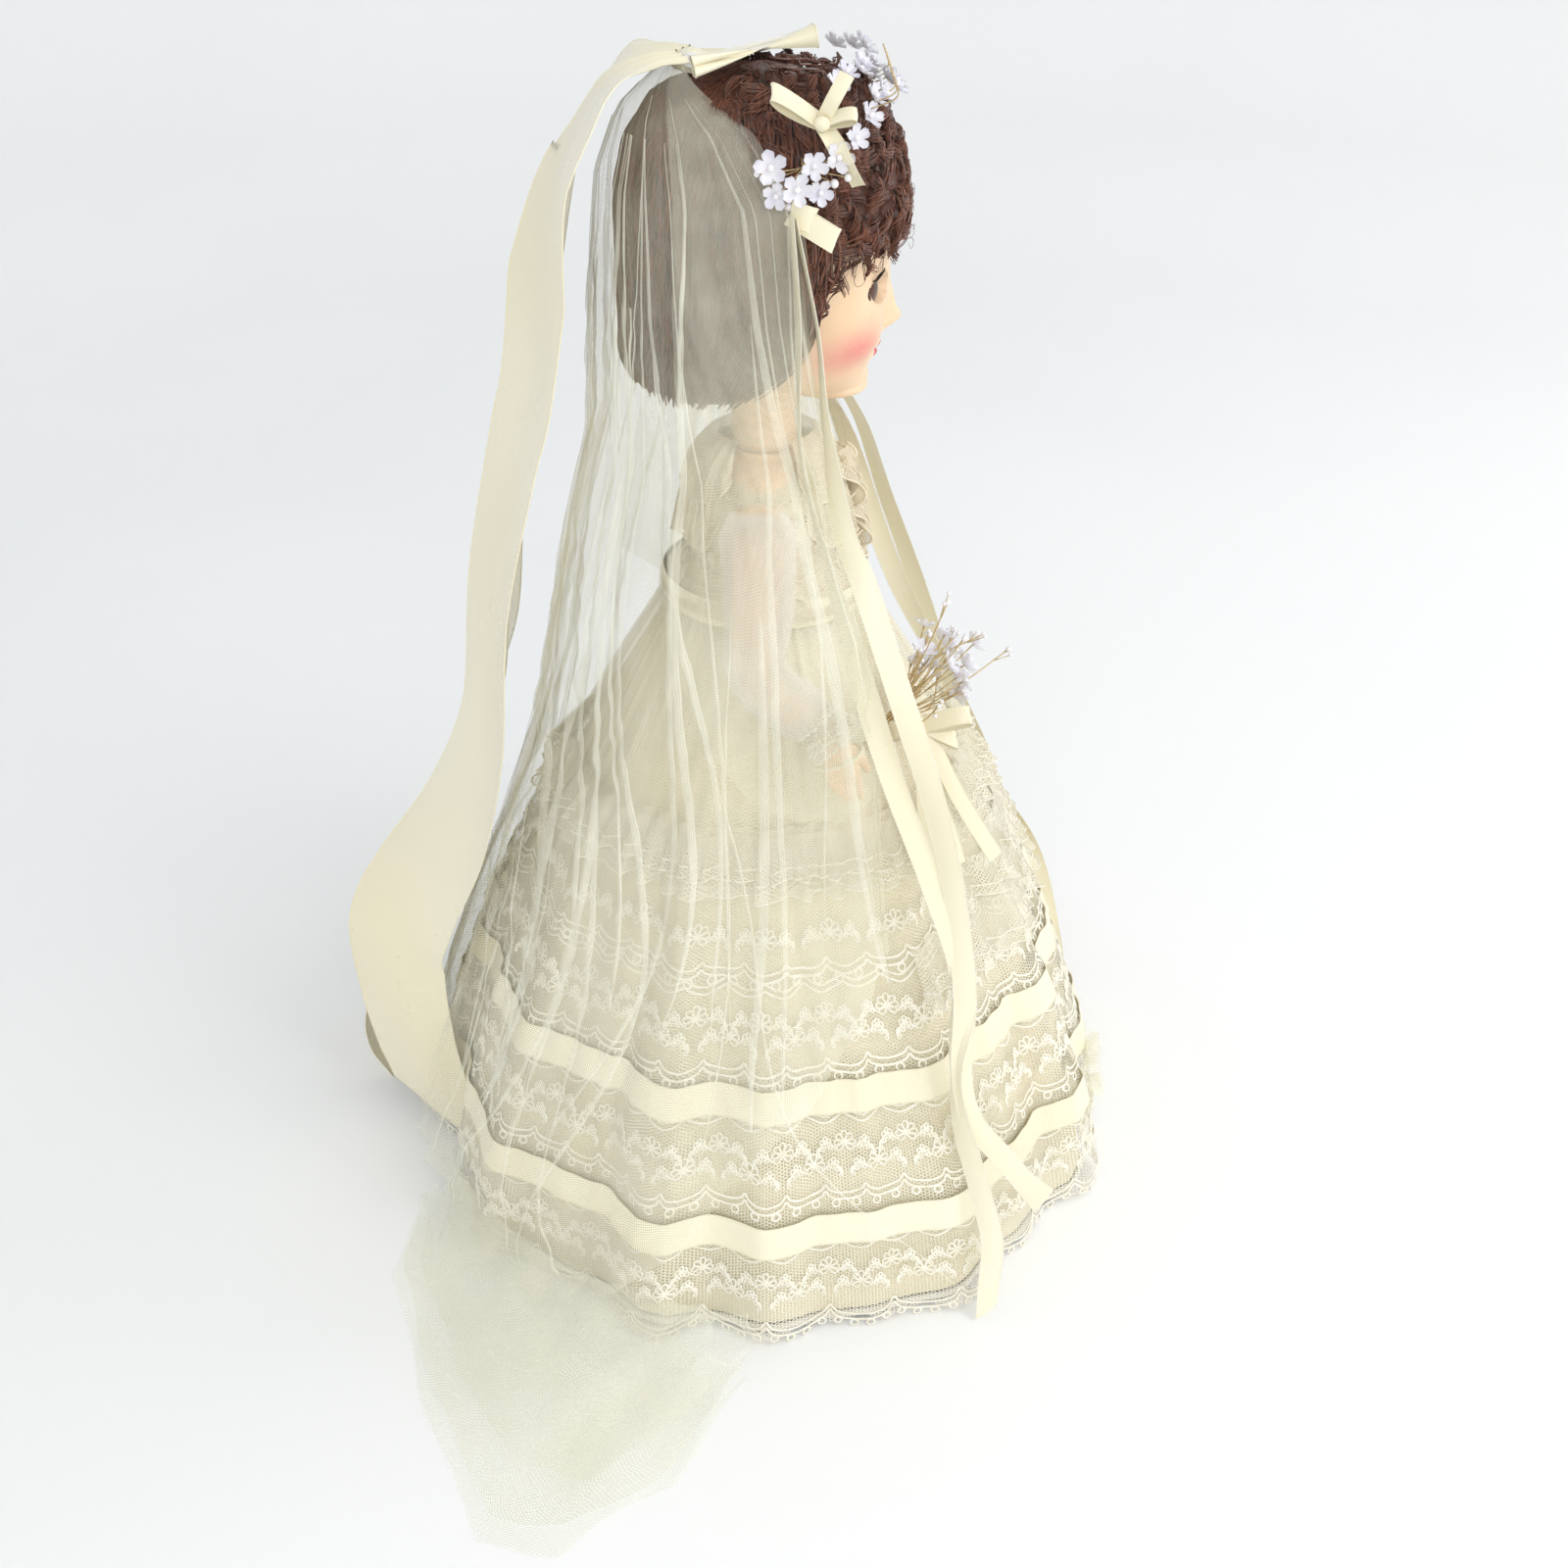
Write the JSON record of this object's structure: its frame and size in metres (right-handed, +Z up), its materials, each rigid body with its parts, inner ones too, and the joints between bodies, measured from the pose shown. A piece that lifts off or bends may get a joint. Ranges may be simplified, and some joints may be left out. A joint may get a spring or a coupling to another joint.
{
  "type": "bride doll",
  "caption": "Standing dressed bride doll with strung hard body, sleep eyes, curled wig, lace gown, tulle veil and satin streamers.",
  "frame": {"origin": "on the floor at the centre of the skirt's hem, on the axis of the neck", "axes": "+Z up, the doll faces -Y, +X is the doll's left side"},
  "size_m": [0.4042, 0.3297, 0.448],
  "materials": {
    "vinyl_skin": "satin moulded vinyl, painted blush and lips",
    "eye_white": "polished",
    "eye_iris": "polished dark brown",
    "lash_black": "combed bristle",
    "hair_auburn": "curled mohair-like fibre",
    "wig_net": "knitted cap net",
    "tulle": "sheer hexagonal net",
    "satin": "double-faced satin ribbon",
    "lace": "embroidered net lace",
    "taffeta": "plain lining taffeta",
    "cotton": "white cotton knit",
    "blossom": "translucent moulded petals",
    "stem_wire": "wrapped gilt wire",
    "elastic": "covered stringing elastic",
    "hook_steel": "bent wire",
    "lead_weight": "cast",
    "shoe_white": "white imitation leather"
  },
  "bodies": {
    "torso": {"torso_shell": "vinyl_skin", "arm_elastic": "elastic", "leg_elastic": "elastic", "bodice": "lace", "collar_ruffle": "lace", "belt_ribbon": "satin", "bloomers": "cotton", "underskirt": "taffeta", "hem_binding": "taffeta", "petticoat": "tulle", "overskirt_net": "lace", "flounce_lace": "lace", "skirt_ruffles": "lace", "ribbon_bands": "satin", "veil_lower": "tulle", "veil_train": "tulle", "streamer_lower_left": "satin", "streamer_lower_right": "satin", "side_ribbons_lower": "satin"},
    "head": {"head_shell": "vinyl_skin", "crown_pate": "wig_net", "wig_cap": "wig_net", "wig_curls": "hair_auburn", "wig_fringe": "hair_auburn", "neck_hook": "hook_steel", "flower_cluster_front": "blossom", "flower_cluster_side": "blossom", "hair_bow": "satin", "ear_bow": "satin", "back_bow": "satin", "back_bow_knot": "satin", "veil_upper": "tulle", "streamers_upper": "satin", "side_ribbons_upper": "satin"},
    "eyes": {"eyeball_right": "eye_white", "eyeball_left": "eye_white", "irises": "eye_iris", "lash_bars": "lash_black", "eye_rocker_bar": "hook_steel", "eye_weight": "lead_weight"},
    "arm_right": {"arm_right": "vinyl_skin", "sleeve_right": "tulle", "cuff_right": "lace", "arm_hook_right": "hook_steel", "bouquet_handle": "stem_wire", "bouquet_flowers": "blossom", "bouquet_bow": "satin"},
    "arm_left": {"arm_left": "vinyl_skin", "sleeve_left": "tulle", "cuff_left": "lace", "arm_hook_left": "hook_steel"},
    "leg_right": {"leg_right": "vinyl_skin", "stocking_right": "cotton", "shoe_right": "shoe_white", "leg_hook_right": "hook_steel"},
    "leg_left": {"leg_left": "vinyl_skin", "stocking_left": "cotton", "shoe_left": "shoe_white", "leg_hook_left": "hook_steel"}
  },
  "joints": [
    {"name": "neck_turn", "type": "hinge", "parent": "torso", "child": "head", "pos_m": [0, 0, 0.3104], "axis": [0, 0, 1], "range_deg": [-60, 60]},
    {"name": "eyes_close", "type": "hinge", "parent": "head", "child": "eyes", "pos_m": [0, -0.0285, 0.37], "axis": [1, 0, 0], "range_deg": [0, 48]},
    {"name": "shoulder_right", "type": "hinge", "parent": "torso", "child": "arm_right", "pos_m": [-0.0496, 0.002, 0.288], "axis": [1, 0, 0], "range_deg": [-55, 4]},
    {"name": "shoulder_left", "type": "hinge", "parent": "torso", "child": "arm_left", "pos_m": [0.0496, 0.002, 0.288], "axis": [1, 0, 0], "range_deg": [-76, 4]},
    {"name": "hip_right", "type": "hinge", "parent": "torso", "child": "leg_right", "pos_m": [-0.032, 0, 0.198], "axis": [1, 0, 0], "range_deg": [-25, 20]},
    {"name": "hip_left", "type": "hinge", "parent": "torso", "child": "leg_left", "pos_m": [0.032, 0, 0.198], "axis": [1, 0, 0], "range_deg": [-25, 20]}
  ]
}
